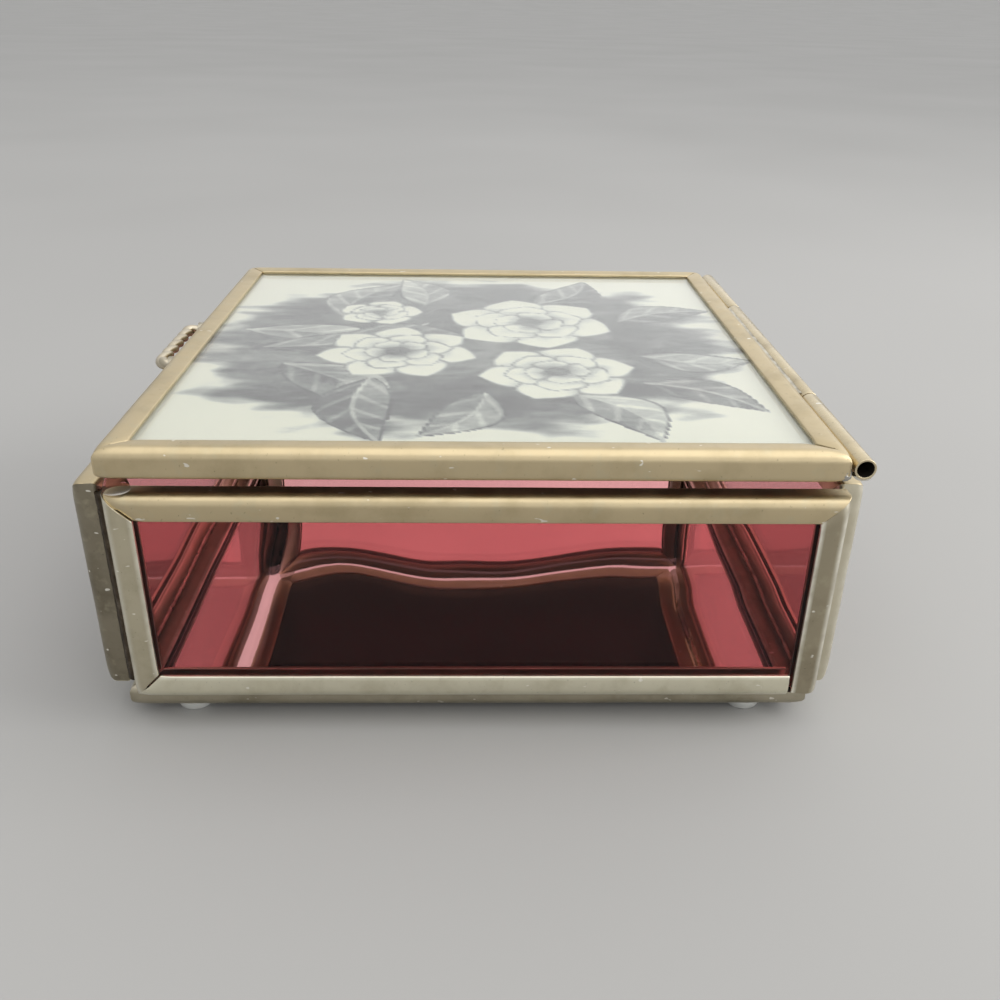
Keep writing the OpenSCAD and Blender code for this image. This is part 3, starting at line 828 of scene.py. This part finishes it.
STRAND = 0.60 * MM        # radius of a wire in the CAD
STRAND_GAP = 0.03 * MM    # between the CAD's two wires
WIRE_ROUND = 0.86 * MM    # radius of a wire here
LAY = 7.6 * MM            # length of one turn of the twist
PULL_OUT = 3.1 * MM       # from the lid's edge to the bail's middle line
DOT_HEIGHT = 1.0 * MM     # of the solder dots that the bail springs from
PULL_HALF = 11.8 * MM     # from the middle of the bail to each end
WIRE_STEPS = 132
lid_low, lid_high = union_box([f"lid_{side}" for side in FRAMES["lid"][2]])
pull_at = Vector((0, lid_low.y, (lid_low.z + lid_high.z) / 2))
bend = PULL_OUT - DOT_HEIGHT - STRAND_GAP
bend_run = bend * math.pi / 2
rope = 2 * bend_run + 2 * (PULL_HALF - bend)


def bail_line(run):
    """Place and inward direction of the bail's middle line at a length from its left end."""
    if run > rope / 2:
        at, inward = bail_line(rope - run)
        return Vector((-at.x, at.y, at.z)), Vector((-inward.x, inward.y, 0))
    if run < bend_run:
        c, s = math.cos(run / bend), math.sin(run / bend)
        at = Vector((-PULL_HALF + bend * (1 - c), -DOT_HEIGHT - STRAND_GAP - bend * s, 0))
        return at, Vector((c, s, 0))
    return Vector((-PULL_HALF + bend + run - bend_run, -PULL_OUT, 0)), Vector((0, 1, 0))


wires = bpy.data.curves.new("twisted_bail", "CURVE")
wires.dimensions = "3D"
wires.bevel_depth = WIRE_ROUND
wires.bevel_resolution = 5
wires.use_fill_caps = True
# the wires are squeezed together, and stay inside the reach of the CAD's two
twist_reach = 2 * STRAND + STRAND_GAP / 2 - WIRE_ROUND
for k in range(2):
    line = wires.splines.new("POLY")
    line.points.add(WIRE_STEPS)
    for i, point in enumerate(line.points):
        run = rope * i / WIRE_STEPS
        at, inward = bail_line(run)
        spin = math.tau * run / LAY + math.pi * k
        place = pull_at + at + twist_reach * (math.cos(spin) * inward + math.sin(spin) * UP)
        point.co = (*place, 1.0)
    line.use_smooth = True
bail = bpy.data.objects.new("twisted_bail", wires)
bpy.context.collection.objects.link(bail)
dress(bail, wire_brass, "twisted_wire", "lid", "lid_pull")


# ---- solder ----------------------------------------------------------------------

MOST_HALVINGS = 7
BEAD_CELL = 1.1 * MM             # longest edge of a bead's mesh
BEAD_DENT = 0.20 * MM            # how deep its dents are
BEAD_GRAIN = 2.2 * MM            # and how wide
BEAD_SHARP = math.radians(50)    # edges keener than this stay sharp
BLOB_SIZE = (0.60 * MM, 1.15 * MM, 1.25 * MM)
BLOB_DENT = 0.45 * MM


def uneven(node, cell, depth, grain, seed):
    """The node's own solid, cut finer and pressed in here and there like run solder."""
    bm = bmesh.new()
    bm.from_mesh(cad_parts[node].data)
    bmesh.ops.remove_doubles(bm, verts=bm.verts, dist=WELD)
    for _ in range(MOST_HALVINGS):
        wide = [e for e in bm.edges if e.calc_length() > cell]
        if not wide:
            break
        bmesh.ops.subdivide_edges(bm, edges=wide, cuts=1)
        bmesh.ops.triangulate(bm, faces=[f for f in bm.faces if len(f.verts) > 3])
    bm.normal_update()
    moves = [(v, v.normal * abs(wave(v.co, grain, depth, seed))) for v in bm.verts]
    for v, move in moves:
        v.co -= move
    return bm


# the corner beads get the near-black solder, painted shade of the corner grooves
BEADS = (("pull_solder", "lid", solder), ("hinge_solder", "case", bright_solder),
         ("lid_hinge_solder", "lid", solder), ("corner_solder", "case", shade_painted_solder),
         ("base_solder", "case", solder))
for seed, (node, body, metal) in enumerate(BEADS):
    bm = uneven(node, BEAD_CELL, BEAD_DENT, BEAD_GRAIN, 41.0 + seed)
    dress(finish_mesh(bm, f"{node}_bead", BEAD_SHARP), metal, "solder", body, node)

# a grey patch of solder that closes the pinched mitre at the lid's right rear corner
bm = bmesh.new()
bmesh.ops.create_icosphere(bm, subdivisions=4, radius=1.0)
bmesh.ops.scale(bm, vec=BLOB_SIZE, verts=bm.verts)
blob_at = (lid_high.x - 0.66 * MM, lid_high.y - 0.75 * MM, lid_low.z + 1.45 * MM)
bmesh.ops.translate(bm, vec=blob_at, verts=bm.verts)
for v in bm.verts:
    v.co.x -= abs(wave(v.co, 0.7 * MM, BLOB_DENT, 53.0))
    v.co.y += wave(v.co, 0.9 * MM, BLOB_DENT, 61.0)
    v.co.z += wave(v.co, 0.8 * MM, BLOB_DENT, 67.0)
    v.co.y = min(v.co.y, lid_high.y + 0.18 * MM)
    v.co.z = max(v.co.z, lid_low.z + 0.02 * MM)
dress(finish_mesh(bm, "lid_corner_solder"), grey_solder, "solder", "lid")

refinish("hinge_pin", pin_wire)


# ---- stage, light and camera -----------------------------------------------------

# the floor sweeps up far behind the box, so that the photograph's view has no horizon
FLOOR_REACH = 40.0
SWEEP_FROM = 8.0
SWEEP_RISE = 3.0
bm = bmesh.new()
bmesh.ops.create_grid(bm, x_segments=80, y_segments=2, size=FLOOR_REACH)
for v in bm.verts:
    swept = max(0.0, -v.co.x - SWEEP_FROM) / (FLOOR_REACH - SWEEP_FROM)
    v.co.z = SWEEP_RISE * swept ** 2
floor = finish_mesh(bm, "floor")
floor.data.materials.append(pale_floor())

world = bpy.data.worlds.new("studio")
world.use_nodes = True
bpy.context.scene.world = world
sky = world.node_tree.nodes["Background"]
sky.inputs["Color"].default_value = (0.95, 0.95, 0.945, 1.0)
# the studio is brighter on the hinge side, as beside a window
PULL_SIDE, HINGE_SIDE = 0.55, 1.50
direction = world.node_tree.nodes.new("ShaderNodeTexCoord")
apart = world.node_tree.nodes.new("ShaderNodeSeparateXYZ")
falloff = world.node_tree.nodes.new("ShaderNodeMapRange")
set_range(falloff, -0.9, 0.9, PULL_SIDE, HINGE_SIDE)
world.node_tree.links.new(direction.outputs["Generated"], apart.inputs["Vector"])
world.node_tree.links.new(apart.outputs["Y"], falloff.inputs["Value"])
world.node_tree.links.new(falloff.outputs["Result"], sky.inputs["Strength"])

WARM_WHITE = (1.0, 0.985, 0.955)


def soft_light(name, place, target, size, radiance):
    """A square softbox whose face has the given brightness."""
    data = bpy.data.lights.new(name, "AREA")
    data.shape = "SQUARE"
    data.size = size
    data.energy = radiance * math.pi * size * size
    data.color = WARM_WHITE
    lamp = bpy.data.objects.new(name, data)
    lamp.location = place
    lamp.rotation_euler = (Vector(target) - Vector(place)).to_track_quat("-Z", "Y").to_euler()
    bpy.context.collection.objects.link(lamp)


soft_light("ceiling_softbox", place=(0.30, 0.0, 1.45), target=(0, 0, 0.04), size=1.9, radiance=0.72)
soft_light("side_softbox", place=(0.12, 0.72, 0.36), target=(0, 0.08, 0.0), size=0.5, radiance=4.5)

# the photograph's camera: place in metres, angles in degrees, focal length in pixels of 1000
CAMERA_AT = (0.20027, 0.00033, 0.11730)
CAMERA_DOWN = math.radians(26.693)
CAMERA_TURN = math.radians(1.725)
CAMERA_ROLL = math.radians(1.016)
FOCAL_PX = 981.65
PICTURE_PX = 1000
SENSOR = 36.0

ahead = Vector((-math.cos(CAMERA_TURN) * math.cos(CAMERA_DOWN),
                math.sin(CAMERA_TURN) * math.cos(CAMERA_DOWN), -math.sin(CAMERA_DOWN)))
right = Vector((math.sin(CAMERA_TURN), math.cos(CAMERA_TURN), 0.0))
upward = right.cross(ahead)
right_rolled = math.cos(CAMERA_ROLL) * right + math.sin(CAMERA_ROLL) * upward
upward_rolled = math.cos(CAMERA_ROLL) * upward - math.sin(CAMERA_ROLL) * right
lens = bpy.data.cameras.new("photo_camera")
lens.sensor_width = SENSOR
lens.lens = FOCAL_PX * SENSOR / PICTURE_PX
lens.clip_start = 0.005
camera = bpy.data.objects.new("photo_camera", lens)
camera.matrix_world = Matrix.Translation(CAMERA_AT) @ Matrix(
    (right_rolled, upward_rolled, -ahead)).transposed().to_4x4()
bpy.context.collection.objects.link(camera)
bpy.context.scene.camera = camera
bpy.context.scene.view_settings.view_transform = "Standard"
